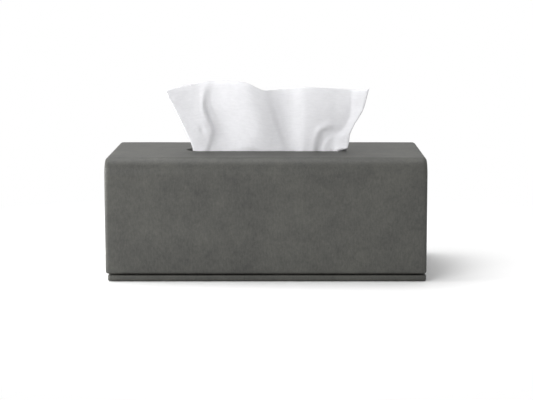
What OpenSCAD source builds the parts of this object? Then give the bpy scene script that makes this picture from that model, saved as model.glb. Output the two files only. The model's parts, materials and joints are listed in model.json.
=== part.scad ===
// Tissue box with a drawer. A leather-covered sleeve, closed at its left end, stands
// over a covered plate. The plate is the floor of a drawer that draws out to the
// right with the stack of tissues on it. One tissue stands up through the slot.
// X runs right, Y runs back, Z runs up. The origin is under the middle of the
// sleeve, on the surface that the box stands on. Sizes are in millimetres.

/* [Box] */
// Width of the box, from end to end
box_w = 260; // [246:1:300]
// Depth of the box, from front to back
box_d = 145; // [138:1:170]
// Height of the box, from the table to its top
box_h = 100; // [92:1:130]
// Outer radius of the bends between the top and the front and back
bend_r = 14; // [9:0.5:24]
// Radius of the outer edges at the two ends of the sleeve
end_edge_r = 3; // [1.8:0.1:3.4]
// Radius of the inner edges at the two ends of the sleeve
end_inner_r = 1.2; // [1.1:0.1:1.4]

/* [Walls] */
// Thickness of the leather
leather_t = 1; // [0.7:0.1:1.4]
// Thickness of the boards under the leather
board_t = 3.6; // [3.3:0.1:5]
// Thickness of the linings, and of leather pared thin to be turned in
lining_t = 0.6; // [0.4:0.1:0.9]
// Width of the leather turned in behind each edge
turn_in = 12; // [9:1:16]
// How far both end panels are set back from the ends of the sleeve
panel_recess = 1.5; // [1.4:0.1:4]

/* [Slot] */
// Length of the slot in the top
slot_l = 134; // [110:1:150]
// Width of the slot in the top
slot_w = 24; // [18:1:30]
// Width of the leather turned in under the slot
slot_turn = 7; // [4:1:12]

/* [Plate] */
// Thickness of the covered plate
plate_t = 4.8; // [4:0.1:8]
// Shadow gap between the plate and the sleeve above it
shadow_gap = 1.3; // [0.8:0.1:3]
// Radius of the plate's rounded edges
plate_edge_r = 1.8; // [1.2:0.1:1.9]
// Radius of the plate's corners, seen from above
plate_corner_r = 4; // [3:0.5:8]
// How far the plate stands in from the sleeve's left end
plate_left_inset = 1.6; // [0.5:0.1:4]
// How far the plate stands in from the sleeve's right end
plate_right_inset = 0.1; // [0:0.1:1]
// How far the plate stands in from the sleeve's front and back
plate_side_inset = 1; // [0:0.1:3]
// How far the felt under the plate stands out below it
felt_proud = 0.5; // [0.3:0.1:2]

/* [Drawer] */
// How far the drawer draws out
drawer_travel = 205; // [150:1:210]
// Gap round the drawer front, inside the sleeve
front_gap = 0.6; // [0.4:0.1:1.2]
// Gap between the closed drawer and the sleeve's left end panel
tail_gap = 0.5; // [0.3:0.1:1]
// Running clearance of the drawer's sides and grooves
running_gap = 0.4; // [0.3:0.1:0.7]
// Height of the drawer's sides above the plate
side_h = 26; // [20:1:34]
// Thickness of the drawer's sides
side_t = 6.5; // [6:0.1:8]
// Thickness of the drawer's tail, the wall at its left end
tail_t = 5; // [4:0.1:8]
// Height of the tail's ears, above the sides
ear_h = 8; // [6:0.5:12]
// Height of each rail
rail_h = 4; // [3:0.1:6]
// How far each rail stands out from the sleeve's wall
rail_reach = 3; // [2:0.1:4]
// Height of the rails above the plate
rail_lift = 8; // [5:0.5:12]
// How far the rails stop short of the drawer front
rail_end_gap = 4; // [2:0.5:10]
// Length of each drawer stop
stop_l = 10; // [6:0.5:20]
// How far each drawer stop stands out from the sleeve's wall
stop_reach = 5; // [3:0.5:6]
// Length of the finger slot in the drawer front
finger_l = 36; // [26:1:50]
// Height of the finger slot in the drawer front
finger_h = 15; // [12:1:20]
// Height of the middle of the finger slot above the plate
finger_lift = 54; // [48:1:60]

/* [Magnets] */
// Diameter of the closing magnets and of the steel discs that they hold
magnet_d = 12; // [8:0.5:16]
// Thickness of the closing magnets
magnet_t = 2.4; // [1.5:0.1:2.8]
// Thickness of the steel discs
disc_t = 1.2; // [0.8:0.1:2]
// Distance of each magnet from the middle of the box
magnet_y = 38; // [20:1:45]

/* [Tissues] */
// Room between the stack of tissues and the drawer's tail
stack_left_gap = 6.8; // [3:0.1:20]
// Room between the stack and the drawer front, for a finger
stack_right_gap = 12.3; // [8:0.1:30]
// Room between the stack and each of the drawer's sides
stack_side_gap = 6.4; // [2:0.1:15]
// Room above the stack, under the lining of the top
headroom = 28.9; // [24:0.1:60]
// Radius of the stack's long folded edges
stack_edge_r = 5; // [2:0.5:8]
// Clearance under the tissue that stands up
tissue_clear = 0.5; // [0.3:0.1:2]
// Thickness of the drawn tissue
tissue_t = 0.8; // [0.6:0.1:1.2]
// Depth of the small pleats where the slot gathers the tissue
pleat_depth = 5; // [3:0.1:5.5]
// Number of small pleats across the tissue
pleats = 6; // [4:1:8]

/* [Hidden] */
$fn = 64;
BOARD = "burlywood";
LEATHER = "dimgray";
LINING = "darkslategray";
PAPER = "whitesmoke";
STEEL = "silver";

half_w = box_w / 2;
half_d = box_d / 2;
wall = leather_t + board_t + lining_t;
board_in = leather_t + board_t;          // depth of the boards' inner face below the leather's face
plate_z = felt_proud;
plate_top = plate_z + plate_t;
sleeve_z = plate_top + shadow_gap;       // lower edge of the sleeve
bend_z = box_h - bend_r;                 // where the front and back start to bend
top_run = box_d - 2 * bend_r;            // flat part of the top, front to back

// The two end panels, given by the X of their outer and inner faces
left_face = -half_w + panel_recess;
left_inner = left_face + wall;
front_face = half_w - panel_recess;
front_board_in = front_face - board_in;
front_inner = front_face - wall;

// The drawer
side_out = half_d - wall - running_gap;  // outer face of the drawer's sides
side_in = side_out - side_t;
tail_x = left_inner + tail_gap;
tail_in = tail_x + tail_t;
side_top = plate_top + side_h;
rail_z = plate_top + rail_lift;
groove_y = half_d - wall - rail_reach - running_gap;
stop_x = tail_in + drawer_travel + running_gap;
magnet_z = plate_top + side_h / 2;
finger_z = plate_top + finger_lift;
panel_inset = wall + front_gap;          // drawer front's edge, in from the sleeve's outer face

// The tissues
stack_low = [-side_in + stack_side_gap, plate_top + lining_t];
stack_high = [side_in - stack_side_gap, box_h - wall - headroom];
stack_x = tail_in + stack_left_gap;
stack_l = front_inner - stack_right_gap - stack_x;
tissue_z = stack_high[1] + tissue_clear;
slot_z = box_h - wall / 2;               // height at which the slot grips the tissue
tissue_cols = 40;
tissue_rows = 14;
// Half the tissue's width where the slot grips it, to the left and to the right
grip_left = slot_l / 2 - 5;
grip_right = slot_l / 2 - 2;
// How fast each side edge spreads above the slot, and both below it
spread_left = 0.46;
spread_right = 0.38;
spread_below = 0.95;
// Height over which the gathered edge turns outwards
spread_soft = 4;
// Outline of the tissue's upper edge: place across it, height above the box
tissue_crest = [[0, 50.2], [0.24, 59], [0.38, 56.8], [0.425, 55.5], [0.49, 50], [0.67, 53.2], [1, 52]];
// Main folds: place at the crest, place at the slot, half width, depth at the crest and at
// the slot. A positive depth comes forward.
tissue_folds = [
    [0.05, 0.05, 0.10, -5.0, 0.0],
    [0.175, 0.19, 0.055, -6.5, -1.5],
    [0.33, 0.32, 0.13, 6.0, 0.5],
    [0.49, 0.62, 0.07, -7.5, -1.5],
    [0.66, 0.74, 0.12, 5.5, 0.0],
    [0.86, 0.88, 0.09, -5.0, 0.0],
    [1.0, 1.0, 0.07, 5.5, 1.0]
];
// Middle of the gathered tissue, forward of the middle of the slot
tissue_y = -(slot_w / 2 - pleat_depth - tissue_t / 2 - 0.6);

// ---- Flat shapes ----

// A plank seen on edge: across is its half length, deep its two faces, and its corners
// are rounded by near_r on the first face and far_r on the second.
module plank(across, deep, near_r, far_r) {
    thick = deep[1] - deep[0];
    intersection() {
        translate([-across, deep[0]])
            square([2 * across, thick]);
        union() {
            translate([-across, deep[0] + near_r])
                square([2 * across, thick - near_r - far_r]);
            translate([-across + near_r, deep[0]])
                square([2 * (across - near_r), near_r]);
            translate([-across + far_r, deep[1] - far_r])
                square([2 * (across - far_r), far_r]);
            for (side = [-1, 1]) {
                translate([side * (across - near_r), deep[0] + near_r])
                    circle(near_r);
                translate([side * (across - far_r), deep[1] - far_r])
                    circle(far_r);
            }
        }
    }
}

// A slot with round ends
module stadium(length, width) {
    square([length - width, width], center = true);
    for (side = [-1, 1])
        translate([side * (length - width) / 2, 0])
            circle(width / 2);
}

// The outline of the box seen from its end, drawn in by inset, from height low upwards
module end_outline(inset, low) {
    r = bend_r - inset;
    flat = half_d - bend_r;
    translate([-half_d + inset, low])
        square([box_d - 2 * inset, bend_z - low]);
    translate([-flat, bend_z])
        square([2 * flat, r]);
    for (side = [-1, 1])
        translate([side * flat, bend_z])
            circle(r);
}

// A rectangle with rounded corners, from corner low to corner high
module round_rect(low, high, r) {
    translate([low[0] + r, low[1]])
        square([high[0] - low[0] - 2 * r, high[1] - low[1]]);
    translate([low[0], low[1] + r])
        square([high[0] - low[0], high[1] - low[1] - 2 * r]);
    for (x = [low[0] + r, high[0] - r], y = [low[1] + r, high[1] - r])
        translate([x, y])
            circle(r);
}

// ---- Placing a flat shape ----

// Draws a shape of Y and Z out along X, from x for length
module along_x(x, length) {
    translate([x, 0, 0])
        rotate([90, 0, 90])
            linear_extrude(length)
                children();
}

// The next three sweep a section of the sleeve's wall, drawn as X against depth
module down_front(low, high = bend_z) {
    translate([0, -half_d, low])
        linear_extrude(high - low)
            children();
}

module round_bend() {
    translate([0, -half_d + bend_r, bend_z])
        rotate([90, 0, -90])
            rotate_extrude(angle = 90)
                translate([bend_r, 0])
                    rotate(90)
                        children();
}

module over_top() {
    translate([0, -top_run / 2, box_h])
        rotate([-90, 0, 0])
            linear_extrude(top_run)
                children();
}

module at_back() {
    mirror([0, 1, 0])
        children();
}

// A slot cut down through the top
module slot_cut(grow) {
    translate([0, 0, box_h - wall - 1])
        linear_extrude(wall + 2)
            stadium(slot_l + 2 * grow, slot_w + 2 * grow);
}

// ---- Sleeve ----

module board_section() {
    plank(half_w - leather_t, [leather_t, board_in], end_edge_r - leather_t, end_inner_r - lining_t);
}

module lining_section() {
    translate([-half_w + turn_in, board_in])
        square([box_w - 2 * turn_in, lining_t]);
}

module skin_section() {
    difference() {
        plank(half_w, [0, wall], end_edge_r, end_inner_r);
        board_section();
        lining_section();
    }
}

// The leather under the front wall's lower edge, and turned up behind it
module front_hem() {
    intersection() {
        down_front(sleeve_z, sleeve_z + leather_t)
            plank(half_w, [0, wall], end_edge_r, end_inner_r);
        along_x(-half_w, box_w)
            translate([-half_d + leather_t, sleeve_z])
                union() {
                    square([wall - 2 * leather_t, leather_t]);
                    for (y = [0, wall - 2 * leather_t])
                        translate([y, leather_t])
                            circle(leather_t);
                }
    }
    down_front(sleeve_z + leather_t, sleeve_z + turn_in)
        lining_section();
}

module sleeve_skin() {
    color(LEATHER)
        difference() {
            union() {
                for (side = [0, 1])
                    mirror([0, side, 0]) {
                        front_hem();
                        down_front(sleeve_z + leather_t)
                            skin_section();
                        round_bend()
                            skin_section();
                    }
                over_top()
                    skin_section();
                translate([0, 0, box_h - wall])
                    linear_extrude(board_t + lining_t)
                        stadium(slot_l + 2 * leather_t, slot_w + 2 * leather_t);
                translate([0, 0, box_h - wall])
                    linear_extrude(lining_t)
                        stadium(slot_l + 2 * slot_turn, slot_w + 2 * slot_turn);
            }
            slot_cut(0);
        }
}

module front_board() {
    color(BOARD)
        down_front(sleeve_z + leather_t)
            board_section();
}

module back_board() {
    at_back()
        front_board();
}

module front_bend() {
    color(BOARD)
        round_bend()
            board_section();
}

module back_bend() {
    at_back()
        front_bend();
}

module top_board() {
    color(BOARD)
        difference() {
            over_top()
                board_section();
            slot_cut(leather_t);
        }
}

module sleeve_lining() {
    color(LINING)
        difference() {
            union() {
                for (side = [0, 1])
                    mirror([0, side, 0]) {
                        down_front(sleeve_z + turn_in)
                            lining_section();
                        round_bend()
                            lining_section();
                    }
                over_top()
                    lining_section();
            }
            slot_cut(slot_turn);
        }
}

// ---- Left end panel ----

module left_panel_core() {
    along_x(left_face + leather_t, board_t)
        end_outline(wall + lining_t, sleeve_z + leather_t);
}

module left_panel_board() {
    color(BOARD)
        difference() {
            left_panel_core();
            magnet_row(left_face + board_in - magnet_t, magnet_t + 1);
        }
}

module left_panel_skin() {
    color(LEATHER)
        difference() {
            along_x(left_face, board_in)
                end_outline(wall, sleeve_z);
            left_panel_core();
        }
}

module left_panel_lining() {
    color(LINING)
        along_x(left_face + board_in, lining_t)
            end_outline(wall, sleeve_z);
}

// ---- Rails, stops and magnets ----

module front_rail() {
    color(BOARD)
        translate([left_inner + tail_gap, -half_d + wall, rail_z])
            cube([front_board_in - rail_end_gap - left_inner - tail_gap, rail_reach, rail_h]);
}

module back_rail() {
    at_back()
        front_rail();
}

module drawer_stops() {
    color(BOARD)
        for (side = [0, 1])
            mirror([0, side, 0])
                translate([stop_x, -half_d + wall, side_top + running_gap])
                    cube([stop_l, stop_reach, ear_h - running_gap]);
}

// A pair of discs lying against the ends' inner faces, from x for length
module magnet_row(x, length) {
    for (side = [-1, 1])
        translate([x, side * magnet_y, magnet_z])
            rotate([0, 90, 0])
                cylinder(d = magnet_d, h = length);
}

module closing_magnets() {
    color(STEEL)
        magnet_row(left_face + board_in - magnet_t, magnet_t);
}

module keeper_discs() {
    color(STEEL)
        magnet_row(tail_x, disc_t);
}

// ---- Plate ----

plate_low = [-half_w + plate_left_inset, -half_d + plate_side_inset];
plate_high = [half_w - plate_right_inset, half_d - plate_side_inset];

// The edge of the plate as a section: reach is how far in it goes
module plate_edge(reach) {
    translate([0, plate_edge_r])
        square([reach, plate_t - 2 * plate_edge_r]);
    translate([0, 0])
        square([reach - plate_edge_r, plate_t]);
    for (z = [plate_edge_r, plate_t - plate_edge_r])
        translate([reach - plate_edge_r, z])
            circle(plate_edge_r);
}

// The quarter round section that is turned at the plate's corners
module corner_section() {
    intersection() {
        plate_edge(plate_corner_r);
        square([plate_corner_r, plate_t]);
    }
}

// The whole plate with its rounded edges, as the leather covers it
module plate_body() {
    run_x = plate_high[0] - plate_low[0] - 2 * plate_corner_r;
    run_y = plate_high[1] - plate_low[1] - 2 * plate_corner_r;
    translate([plate_low[0] + plate_corner_r, plate_low[1] + plate_corner_r, plate_z]) {
        cube([run_x, run_y, plate_t]);
        for (x = [0, run_x], y = [0, run_y])
            translate([x, y, 0])
                rotate_extrude()
                    corner_section();
        for (far = [0, 1]) {
            translate([0, far * run_y, 0])
                mirror([0, 1 - far, 0])
                    rotate([90, 0, 90])
                        linear_extrude(run_x)
                            corner_section();
            translate([far * run_x, 0, 0])
                mirror([1 - far, 0, 0])
                    translate([0, run_y, 0])
                        rotate([90, 0, 0])
                            linear_extrude(run_y)
                                corner_section();
        }
    }
}

// A rectangle of the plate's plan, drawn in by inset
module plate_plan(inset, r) {
    round_rect(plate_low + [inset, inset], plate_high - [inset, inset], r);
}

module plate_board() {
    color(BOARD)
        translate([0, 0, plate_z + leather_t])
            linear_extrude(plate_t - 2 * leather_t)
                plate_plan(leather_t, plate_corner_r - leather_t);
}

module plate_skin() {
    color(LEATHER)
        difference() {
            plate_body();
            plate_board();
            translate([0, 0, plate_z - 1])
                linear_extrude(leather_t + 1)
                    plate_plan(turn_in, plate_corner_r);
        }
}

module plate_felt() {
    color(LINING)
        linear_extrude(plate_z + leather_t)
            plate_plan(turn_in, plate_corner_r);
}

// ---- Drawer front ----

module finger_cut(grow) {
    along_x(front_inner - 1, wall + 2)
        translate([0, finger_z])
            stadium(finger_l + 2 * grow, finger_h + 2 * grow);
}

module drawer_front_core() {
    along_x(front_board_in, board_t)
        end_outline(panel_inset + lining_t, plate_top + lining_t);
}

module drawer_front_board() {
    color(BOARD)
        difference() {
            drawer_front_core();
            finger_cut(lining_t);
        }
}

module drawer_front_skin() {
    color(LEATHER)
        difference() {
            along_x(front_board_in, board_in)
                end_outline(panel_inset, plate_top);
            difference() {
                drawer_front_core();
                finger_cut(lining_t);
            }
            finger_cut(0);
        }
}

module drawer_front_lining() {
    color(LINING)
        difference() {
            along_x(front_inner, lining_t)
                end_outline(panel_inset, plate_top);
            finger_cut(0);
            for (side = [0, 1])
                mirror([0, side, 0])
                    translate([front_inner - 1, side_in, plate_top - 1])
                        cube([lining_t + 2, side_t + 2 * running_gap, side_h + 1]);
        }
}

// ---- Drawer tray ----

module drawer_side_back() {
    color(BOARD)
        difference() {
            translate([tail_x, side_in, plate_top])
                cube([front_board_in - tail_x, side_t, side_h]);
            translate([tail_x - 1, groove_y, rail_z - running_gap])
                cube([front_board_in - tail_x + 2, side_t + 1, rail_h + 2 * running_gap]);
        }
}

module drawer_side_front() {
    at_back()
        drawer_side_back();
}

module drawer_tail() {
    color(BOARD)
        difference() {
            union() {
                translate([tail_x, -side_in, plate_top])
                    cube([tail_t, 2 * side_in, side_h]);
                translate([tail_x, -side_out, side_top])
                    cube([tail_t, 2 * side_out, ear_h]);
            }
            magnet_row(tail_x - 1, disc_t + 1);
        }
}

module drawer_lining() {
    color(LINING)
        translate([tail_in, -side_in, plate_top])
            cube([front_inner - tail_in, 2 * side_in, lining_t]);
}

// ---- Tissues ----

module tissue_stack() {
    color(PAPER)
        along_x(stack_x, stack_l)
            round_rect(stack_low, stack_high, stack_edge_r);
}

// How far an edge has spread at height z, by rates above and below the slot
function spread(z, above) =
    (z > slot_z ? above : spread_below) * (sqrt(pow(z - slot_z, 2) + pow(spread_soft, 2)) - spread_soft);

function tissue_height(s, t) = tissue_z + t * (box_h + lookup(s, tissue_crest) - tissue_z);

function tissue_x(s, z) =
    -(grip_left + spread(z, spread_left)) * (1 - s) + (grip_right + spread(z, spread_right)) * s;

// 0 at the slot and below it, 1 at the crest
function above_slot(z) = max(0, min(1, (z - slot_z) / 52));

// The small pleats: deepest at the slot, and a third as deep 40 mm away
function pleat(s, z) =
    pleat_depth / (1 + pow((z - slot_z) / 28, 2)) * sin(360 * (pleats * s + 0.3 * sin(360 * 1.5 * s)));

function fold_at(s, up, f) =
    (f[4] + (f[3] - f[4]) * up) * exp(-pow((s - f[1] - (f[0] - f[1]) * up) / f[2], 2));

function main_folds(s, up, i = 0) =
    i == len(tissue_folds) ? 0 : fold_at(s, up, tissue_folds[i]) + main_folds(s, up, i + 1);

// The two faces lie half a thickness before and behind this middle surface
function tissue_point(s, t, offset) =
    let (z = tissue_height(s, t), up = above_slot(z))
    [tissue_x(s, z), tissue_y - pleat(s, z) - up * main_folds(s, up) + offset, z];

module tissue() {
    columns = tissue_cols + 1;
    face = columns * (tissue_rows + 1);
    points = [for (offset = [-tissue_t / 2, tissue_t / 2], j = [0:tissue_rows], i = [0:tissue_cols])
        tissue_point(i / tissue_cols, j / tissue_rows, offset)];
    cells = [for (j = [0:tissue_rows - 1], i = [0:tissue_cols - 1]) j * columns + i];
    faces = [
        for (a = cells) [a, a + columns, a + 1],
        for (a = cells) [a + 1, a + columns, a + columns + 1],
        for (a = cells) [a + face, a + face + 1, a + face + columns],
        for (a = cells) [a + face + 1, a + face + columns + 1, a + face + columns],
        for (i = [0:tissue_cols - 1]) each rim(i, i + 1, face),
        for (i = [0:tissue_cols - 1]) each rim(face - columns + i + 1, face - columns + i, face),
        for (j = [0:tissue_rows - 1]) each rim((j + 1) * columns, j * columns, face),
        for (j = [0:tissue_rows - 1]) each rim((j + 1) * columns - 1, (j + 2) * columns - 1, face)
    ];
    color(PAPER)
        polyhedron(points, faces);
}

// Two triangles that join the front face's edge from a to b to the back face
function rim(a, b, face) = [[a, b, a + face], [b, b + face, a + face]];

sleeve_skin();
front_board();
front_bend();
top_board();
back_bend();
back_board();
sleeve_lining();
left_panel_board();
left_panel_skin();
left_panel_lining();
front_rail();
back_rail();
drawer_stops();
closing_magnets();
tissue();
plate_skin();
plate_board();
plate_felt();
drawer_front_board();
drawer_front_skin();
drawer_front_lining();
drawer_side_front();
drawer_side_back();
drawer_tail();
keeper_discs();
drawer_lining();
tissue_stack();
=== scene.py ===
# %% [markdown]
# # A leather tissue box with a drawer
#
# The box is already built as solids: boards bent and glued into a sleeve, a thin plate that
# is the floor of a drawer, and the drawer's tray. This lesson dresses those solids. It gives
# the leather its soft edges, draws the tissue up through the slot, stacks the tissues inside
# and finishes every surface. It starts by loading the solids, which are never moved.

# %% Load the solid model
import json
import math

import bpy
import numpy as np
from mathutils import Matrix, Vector, noise


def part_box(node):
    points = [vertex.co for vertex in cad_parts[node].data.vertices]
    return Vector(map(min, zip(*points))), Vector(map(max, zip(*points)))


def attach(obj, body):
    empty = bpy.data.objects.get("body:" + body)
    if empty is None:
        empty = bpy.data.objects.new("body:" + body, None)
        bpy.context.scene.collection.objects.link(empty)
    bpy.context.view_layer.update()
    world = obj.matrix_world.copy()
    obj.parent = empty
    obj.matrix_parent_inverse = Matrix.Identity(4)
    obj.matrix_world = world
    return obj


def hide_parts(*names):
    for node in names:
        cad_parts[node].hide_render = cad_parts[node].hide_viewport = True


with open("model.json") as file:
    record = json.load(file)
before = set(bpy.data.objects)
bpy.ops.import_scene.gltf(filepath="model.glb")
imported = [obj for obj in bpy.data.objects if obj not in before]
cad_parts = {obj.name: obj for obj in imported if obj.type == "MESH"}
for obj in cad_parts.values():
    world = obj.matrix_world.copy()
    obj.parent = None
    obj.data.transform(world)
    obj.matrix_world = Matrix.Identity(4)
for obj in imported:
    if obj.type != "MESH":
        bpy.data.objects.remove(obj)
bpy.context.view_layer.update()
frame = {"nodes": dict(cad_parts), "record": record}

scene = bpy.context.scene
nodes = frame["nodes"]
mm = 0.001

# %% [markdown]
# ## The camera
#
# The picture was taken from in front, a little to the right of the middle, looking down by
# about eight degrees through a long lens. The width of the view is shifted instead of turning
# the camera, so that upright lines stay upright. The camera comes first, because every
# other choice is judged through it.

# %% Set the camera
image_width = 533                         # the picture's frame is 533 by 400
focal_pixels = 1665.5                     # focal length, measured in the picture's own pixels
axis_pixel = 287.0                        # where the lens axis meets the picture, from the left
sensor = 36                               # millimetres


def in_scene(name, data):
    """An object of the scene that shows some data, such as a mesh, a lens or a lamp."""
    thing = bpy.data.objects.new(name, data)
    scene.collection.objects.link(thing)
    return thing


camera = in_scene("camera", bpy.data.cameras.new("camera"))
scene.camera = camera
camera.data.sensor_fit = "HORIZONTAL"
camera.data.sensor_width = sensor
camera.data.lens = focal_pixels * sensor / image_width
camera.data.shift_x = (image_width / 2 - axis_pixel) / image_width
camera.location = (0.01697, -1.3993, 0.2513)
pitch_down = 7.907                        # degrees below level
camera.rotation_euler = (math.radians(90 - pitch_down), 0, 0)
print("lens:", round(camera.data.lens, 1), "mm, shift:", round(camera.data.shift_x, 4))

# %% [markdown]
# ## Helpers for materials
#
# A designer writes colours as hex values, which are sRGB, and the renderer counts light in
# linear numbers. One function turns the first into the second. Another adds a node, sets its
# options and joins its sockets. Every finish here ends the same way, with two colours blended
# by one pattern and relief from another, so that ending is a function too.

# %% A helper for colours
def colour(hex_value):
    """A hex colour as the linear red, green, blue and alpha that the renderer counts with."""
    srgb = [int(hex_value[k : k + 2], 16) / 255 for k in (1, 3, 5)]
    linear = [c / 12.92 if c <= 0.04045 else ((c + 0.055) / 1.055) ** 2.4 for c in srgb]
    return (*linear, 1.0)


print("warm grey-green is", [round(c, 3) for c in colour("#5f605b")[:3]])

# %% Helpers for nodes
def feed(tree, node, inputs):
    """Gives inputs of a node a value, or a link: from an output, or from a node's first one."""
    for socket, value in inputs.items():
        if isinstance(value, bpy.types.Node):
            value = value.outputs[0]
        if isinstance(value, bpy.types.NodeSocket):
            tree.links.new(value, node.inputs[socket])
        else:
            node.inputs[socket].default_value = value


def add(tree, kind, inputs=None, **settings):
    """Adds a node with its settings, and feeds its inputs."""
    node = tree.nodes.new(kind)
    for name, value in settings.items():
        setattr(node, name, value)
    feed(tree, node, inputs or {})
    return node


def new_material(name, settings):
    """A material of one Principled shader: it, its tree, its shader and the place in metres."""
    material = bpy.data.materials.new(name)
    material.use_nodes = True
    tree = material.node_tree
    shader = tree.nodes["Principled BSDF"]
    feed(tree, shader, settings)
    place = add(tree, "ShaderNodeTexCoord").outputs["Object"]
    return material, tree, shader, place


def tint_and_relief(tree, shader, factor, dark, pale, height, distance, strength):
    """Ends a material: one pattern blends two colours, and one stands out by some metres."""
    # The blend has sockets for numbers too: 6 and 7 take the colours, and output 2 gives one
    blend = add(tree, "ShaderNodeMix", {
        0: factor, 6: colour(dark), 7: colour(pale)}, data_type="RGBA")
    bump = add(tree, "ShaderNodeBump", {
        "Height": height, "Distance": distance, "Strength": strength})
    feed(tree, shader, {"Base Color": blend.outputs[2], "Normal": bump})


print("helpers:", feed.__name__, add.__name__, new_material.__name__, tint_and_relief.__name__)

# %% [markdown]
# ## Nubuck-finish leatherette
#
# The cover is a microfibre leatherette, sanded on its face so that it has a short nap, like
# nubuck. That makes it matt and a little cloudy: where the nap lies another way the grey
# changes by a few per cent, in patches of every size from a hand's width to a grain. Fractal
# noise with slowly fading octaves has just that look, so one noise gives the clouds and a finer
# one gives the grain. The fibres themselves hardly shine. A finish is sprayed on them and holds
# to their tips alone, which gives the bends their soft gloss: it is a rough coat of part weight.
# Its index is set above a lacquer's 1.5, because then the gloss shows on the bend and the top,
# which is seen at a low angle, stays dull, as in the picture.

# %% Leatherette
cloud_size = 60 * mm       # width of the largest patches
nap_size = 1.3 * mm        # real fibres are 0.05 mm; this is as fine as the picture can show
nap_share = 0.35           # how much the nap changes the colour, next to the clouds
grain_depth = 0.25 * mm

leather, tree, shader, place = new_material("nubuck_finish_leatherette", {
    "Roughness": 0.6, "Specular IOR Level": 0.03,
    "Coat Weight": 0.28, "Coat Roughness": 0.5, "Coat IOR": 2.0})
clouds = add(tree, "ShaderNodeTexNoise", {
    "Vector": place, "Scale": 1 / cloud_size, "Detail": 7.0, "Roughness": 0.93})
# The nap is brushed downwards, so its grain is drawn out along the height
brushed = add(tree, "ShaderNodeMapping", {"Vector": place, "Scale": (1.0, 1.0, 0.35)})
nap = add(tree, "ShaderNodeTexNoise", {
    "Vector": brushed, "Scale": 1 / nap_size, "Detail": 2.0, "Roughness": 0.6})
both = add(tree, "ShaderNodeMath", {0: nap, 1: nap_share, 2: clouds}, operation="MULTIPLY_ADD")
spread = add(tree, "ShaderNodeMapRange", {"Value": both, "From Min": 0.48, "From Max": 0.87})
tint_and_relief(tree, shader, spread, "#2e2e2c", "#484843", nap, grain_depth, 0.5)
print("leatherette:", len(tree.nodes), "nodes")

# %% [markdown]
# ## Tissue paper
#
# Facial tissue is creped: it is scraped off a drying drum, which leaves fine ridges across it.
# Light also passes through it, so its shadows are pale. A little subsurface light does that,
# and ridges from a stretched noise do the creping. The ridges follow the sheet, so they read the
# sheet's own UV map, which is in metres.

# %% Tissue paper
crepe_size = 1.7 * mm      # real creping is 0.3 mm apart; drawn coarser so that it shows
pulp_size = 7 * mm         # the uneven patches that show against the light
crepe_share = 0.6          # how much the creping changes the colour, next to the patches

tissue_paper, tree, shader, place = new_material("creped_tissue_paper", {
    "Roughness": 0.9, "Specular IOR Level": 0.2,
    "Subsurface Weight": 0.1, "Subsurface Scale": 3 * mm, "Subsurface Radius": (1.0, 1.0, 1.0)})
sheet_place = add(tree, "ShaderNodeUVMap", uv_map="cut")
drawn_out = add(tree, "ShaderNodeMapping", {"Vector": sheet_place, "Scale": (0.2, 1.0, 1.0)})
crepe = add(tree, "ShaderNodeTexNoise", {
    "Vector": drawn_out, "Scale": 1 / crepe_size, "Detail": 3.0, "Roughness": 0.6})
pulp = add(tree, "ShaderNodeTexNoise", {
    "Vector": sheet_place, "Scale": 1 / pulp_size, "Detail": 5.0, "Roughness": 0.85})
mottle = add(tree, "ShaderNodeMath", {
    0: crepe, 1: crepe_share, 2: pulp}, operation="MULTIPLY_ADD")
thin = add(tree, "ShaderNodeMapRange", {"Value": mottle, "From Min": 0.5, "From Max": 1.1})
tint_and_relief(tree, shader, thin, "#d2d2d5", "#dedee1", crepe, 0.15 * mm, 0.4)
print("tissue paper:", len(tree.nodes), "nodes")

# %% [markdown]
# ## Linings and felt
#
# The inside is lined with flock: short fibres shot into glue, dark and dead matt. The felt
# under the plate is pressed wool, with longer fibres and pale flecks. Both are cloths of tiny
# threads, so both are noise at a fibre's scale with sheen on top, and they differ in how coarse
# that noise is.

# %% Flock and felt
def fibre_cloth(name, dark, pale, fibre, clump, depth):
    """A matt cloth of short fibres: fibre is their size, clump the size of the uneven patches."""
    material, tree, shader, place = new_material(name, {
        "Roughness": 1.0, "Specular IOR Level": 0.1, "Sheen Weight": 0.5, "Sheen Roughness": 0.6})
    fine = add(tree, "ShaderNodeTexNoise", {
        "Vector": place, "Scale": 1 / fibre, "Detail": 4.0, "Roughness": 0.75})
    patch = add(tree, "ShaderNodeTexNoise", {"Vector": place, "Scale": 1 / clump, "Detail": 3.0})
    factor = add(tree, "ShaderNodeMath", {0: fine, 1: patch}, operation="MULTIPLY")
    stretch = add(tree, "ShaderNodeMapRange", {
        "Value": factor, "From Min": 0.1, "From Max": 0.42})
    tint_and_relief(tree, shader, stretch, dark, pale, fine, depth, 0.6)
    return material


flock = fibre_cloth("flocked_lining", "#1d1e1d", "#3c3e3b", 0.8 * mm, 14 * mm, 0.2 * mm)
felt = fibre_cloth("pressed_wool_felt", "#161616", "#44443f", 1.6 * mm, 9 * mm, 0.4 * mm)
print("cloths:", flock.name, felt.name)

# %% [markdown]
# ## Fibreboard, beech and plywood
#
# The leather covers medium-density fibreboard, which is pulp pressed flat: no grain, only specks.
# The rails are beech, a pale wood with short dark rays along its grain. The tray is birch
# plywood stained black, and its thin veneers show as stripes on every cut edge. Each is
# drawn from the size of the thing itself: speck, ray or veneer.

# %% Fibreboard
speck_size = 0.7 * mm      # clumps of pulp; its single fibres are too fine to show
fibreboard, tree, shader, place = new_material("raw_fibreboard", {
    "Roughness": 0.8, "Specular IOR Level": 0.3})
specks = add(tree, "ShaderNodeTexNoise", {
    "Vector": place, "Scale": 1 / speck_size, "Detail": 5.0, "Roughness": 0.8})
tint_and_relief(tree, shader, specks, "#8d6c4a", "#c4a67c", specks, 0.1 * mm, 0.4)
print("fibreboard:", len(tree.nodes), "nodes")

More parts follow.
